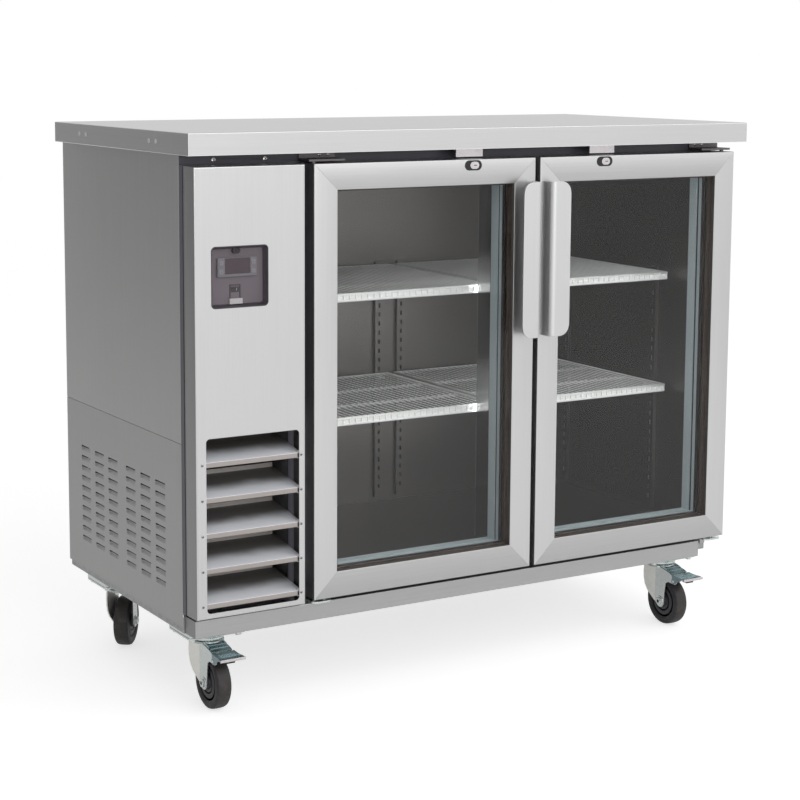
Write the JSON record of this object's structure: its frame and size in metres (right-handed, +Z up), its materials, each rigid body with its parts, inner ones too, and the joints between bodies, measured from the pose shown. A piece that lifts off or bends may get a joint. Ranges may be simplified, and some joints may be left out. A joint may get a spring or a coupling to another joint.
{
  "type": "undercounter refrigerator",
  "caption": "Glass-door undercounter bottle refrigerator on casters, with a side compressor bay, grille, wire shelves and hinged locking doors.",
  "frame": {"origin": "middle of the footprint, on the floor under the casters", "axes": "+X to the right as seen from the front, +Y towards the back, +Z up; the doors face -Y"},
  "size_m": [1.2474, 0.637, 1.055],
  "materials": {
    "stainless_counter": "satin",
    "stainless_front": "satin",
    "stainless_side": "satin",
    "galvanised": "satin",
    "frame_dark": "satin",
    "strip_grey": "satin",
    "foam": "matte",
    "liner_steel": "satin",
    "fastener": "satin",
    "bezel_plastic": "satin",
    "control_grey": "satin",
    "key_plastic": "satin",
    "switch_plastic": "satin",
    "cover_smoke": "gloss",
    "shelf_white": "satin",
    "lamp_white": "satin",
    "white_plastic": "satin",
    "coil_aluminium": "satin",
    "fan_black": "satin",
    "shroud_steel": "satin",
    "compressor_black": "satin",
    "copper": "satin",
    "box_grey": "satin",
    "zinc": "satin",
    "keeper": "satin",
    "door_glass": "gloss",
    "gasket_grey": "matte",
    "handle_steel": "satin",
    "lock_steel": "satin",
    "caster_rubber": "satin"
  },
  "bodies": {
    "cabinet": {"countertop": "stainless_counter", "side_panel_upper_left": "stainless_side", "side_panel_louvred_left": "stainless_side", "side_panel_right": "stainless_side", "back_panel": "galvanised", "chassis": "galvanised", "face_frame": "frame_dark", "mullion_post": "liner_steel", "breaker_strips": "strip_grey", "insulation": "foam", "liner": "liner_steel", "front_panel": "stainless_front", "grille_blades": "stainless_front", "screws_and_rivets": "fastener", "control_bezel": "bezel_plastic", "controller": "control_grey", "shelves_upper": "shelf_white", "shelves_lower": "shelf_white", "pilasters": "liner_steel", "shelf_clips": "white_plastic", "light_strips": "lamp_white", "evaporator_cover": "white_plastic", "evaporator_coil": "coil_aluminium", "condenser_coil": "coil_aluminium", "fan_shroud": "shroud_steel", "compressor": "compressor_black", "refrigerant_lines": "copper", "electrical_box": "box_grey", "condensate_pan": "box_grey", "hinge_brackets": "zinc", "lock_strikes": "keeper", "caster_plates": "zinc"},
    "door_left": {"door_left_frame": "stainless_front", "door_left_glass": "door_glass", "door_left_gasket": "gasket_grey", "door_left_handle": "handle_steel"},
    "lock_left_barrel": {"lock_left": "lock_steel"},
    "door_right": {"door_right_frame": "stainless_front", "door_right_glass": "door_glass", "door_right_gasket": "gasket_grey", "door_right_handle": "handle_steel"},
    "lock_right_barrel": {"lock_right": "lock_steel"},
    "key_1": {"controller_key_1": "key_plastic"},
    "key_2": {"controller_key_2": "key_plastic"},
    "key_3": {"controller_key_3": "key_plastic"},
    "key_4": {"controller_key_4": "key_plastic"},
    "rocker": {"rocker_switch": "switch_plastic"},
    "cover": {"control_cover": "cover_smoke"},
    "evaporator_fan_wheel": {"evaporator_fan": "fan_black"},
    "condenser_fan_wheel": {"condenser_fan": "fan_black"},
    "fork_fl": {"caster_fork_fl": "zinc"},
    "wheel_fl": {"caster_wheel_fl": "caster_rubber"},
    "fork_fr": {"caster_fork_fr": "zinc"},
    "wheel_fr": {"caster_wheel_fr": "caster_rubber"},
    "fork_rl": {"caster_fork_rl": "zinc"},
    "wheel_rl": {"caster_wheel_rl": "caster_rubber"},
    "fork_rr": {"caster_fork_rr": "zinc"},
    "wheel_rr": {"caster_wheel_rr": "caster_rubber"},
    "pedal_fl": {"brake_pedal_fl": "zinc"},
    "pedal_fr": {"brake_pedal_fr": "zinc"}
  },
  "joints": [
    {"name": "door_left_hinge", "type": "hinge", "parent": "cabinet", "child": "door_left", "pos_m": [-0.3565, -0.2595, 0.596], "axis": [0, 0, -1], "range_deg": [0, 90]},
    {"name": "door_right_hinge", "type": "hinge", "parent": "cabinet", "child": "door_right", "pos_m": [0.5925, -0.2595, 0.596], "axis": [0, 0, 1], "range_deg": [0, 110]},
    {"name": "lock_left_turn", "type": "hinge", "parent": "door_left", "child": "lock_left_barrel", "pos_m": [-0.0255, -0.2615, 0.9845], "axis": [0, -1, 0], "range_deg": [0, 90]},
    {"name": "lock_right_turn", "type": "hinge", "parent": "door_right", "child": "lock_right_barrel", "pos_m": [0.2805, -0.2615, 0.9845], "axis": [0, -1, 0], "range_deg": [0, 90]},
    {"name": "key_1_press", "type": "slide", "parent": "cabinet", "child": "key_1", "axis": [0, 1, 0], "range_m": [0, 0.0008], "stiffness_N_per_m": 400},
    {"name": "key_2_press", "type": "slide", "parent": "cabinet", "child": "key_2", "axis": [0, 1, 0], "range_m": [0, 0.0008], "stiffness_N_per_m": 400},
    {"name": "key_3_press", "type": "slide", "parent": "cabinet", "child": "key_3", "axis": [0, 1, 0], "range_m": [0, 0.0008], "stiffness_N_per_m": 400},
    {"name": "key_4_press", "type": "slide", "parent": "cabinet", "child": "key_4", "axis": [0, 1, 0], "range_m": [0, 0.0008], "stiffness_N_per_m": 400},
    {"name": "rocker_tip", "type": "hinge", "parent": "cabinet", "child": "rocker", "pos_m": [-0.5205, -0.2685, 0.774], "axis": [-1, 0, 0], "range_deg": [0, 14]},
    {"name": "cover_flap", "type": "hinge", "parent": "cabinet", "child": "cover", "pos_m": [-0.5165, -0.2819, 0.7562], "axis": [1, 0, 0], "range_deg": [0, 95]},
    {"name": "evaporator_fan_spin", "type": "hinge", "parent": "cabinet", "child": "evaporator_fan_wheel", "pos_m": [-0.2725, 0.1685, 0.86], "axis": [1, 0, 0], "continuous": true},
    {"name": "condenser_fan_spin", "type": "hinge", "parent": "cabinet", "child": "condenser_fan_wheel", "pos_m": [-0.4935, -0.1065, 0.345], "axis": [0, -1, 0], "continuous": true},
    {"name": "swivel_fl", "type": "hinge", "parent": "cabinet", "child": "fork_fl", "pos_m": [-0.5365, -0.1815, 0.125], "axis": [0, 0, 1], "continuous": true},
    {"name": "roll_fl", "type": "hinge", "parent": "fork_fl", "child": "wheel_fl", "pos_m": [-0.5365, -0.2065, 0.05], "axis": [1, 0, 0], "continuous": true},
    {"name": "swivel_fr", "type": "hinge", "parent": "cabinet", "child": "fork_fr", "pos_m": [0.5245, -0.1815, 0.125], "axis": [0, 0, 1], "continuous": true},
    {"name": "roll_fr", "type": "hinge", "parent": "fork_fr", "child": "wheel_fr", "pos_m": [0.5245, -0.2065, 0.05], "axis": [1, 0, 0], "continuous": true},
    {"name": "swivel_rl", "type": "hinge", "parent": "cabinet", "child": "fork_rl", "pos_m": [-0.5405, 0.2035, 0.125], "axis": [0, 0, 1], "continuous": true},
    {"name": "roll_rl", "type": "hinge", "parent": "fork_rl", "child": "wheel_rl", "pos_m": [-0.52511, 0.2232, 0.05], "axis": [-0.788, 0.6157, 0], "continuous": true},
    {"name": "swivel_rr", "type": "hinge", "parent": "cabinet", "child": "fork_rr", "pos_m": [0.5245, 0.2035, 0.125], "axis": [0, 0, 1], "continuous": true},
    {"name": "roll_rr", "type": "hinge", "parent": "fork_rr", "child": "wheel_rr", "pos_m": [0.51595, 0.22699, 0.05], "axis": [-0.9397, -0.342, 0], "continuous": true},
    {"name": "brake_fl", "type": "hinge", "parent": "fork_fl", "child": "pedal_fl", "pos_m": [-0.5365, -0.2515, 0.103], "axis": [1, 0, 0], "range_deg": [0, 15]},
    {"name": "brake_fr", "type": "hinge", "parent": "fork_fr", "child": "pedal_fr", "pos_m": [0.5245, -0.2515, 0.103], "axis": [1, 0, 0], "range_deg": [0, 15]}
  ]
}
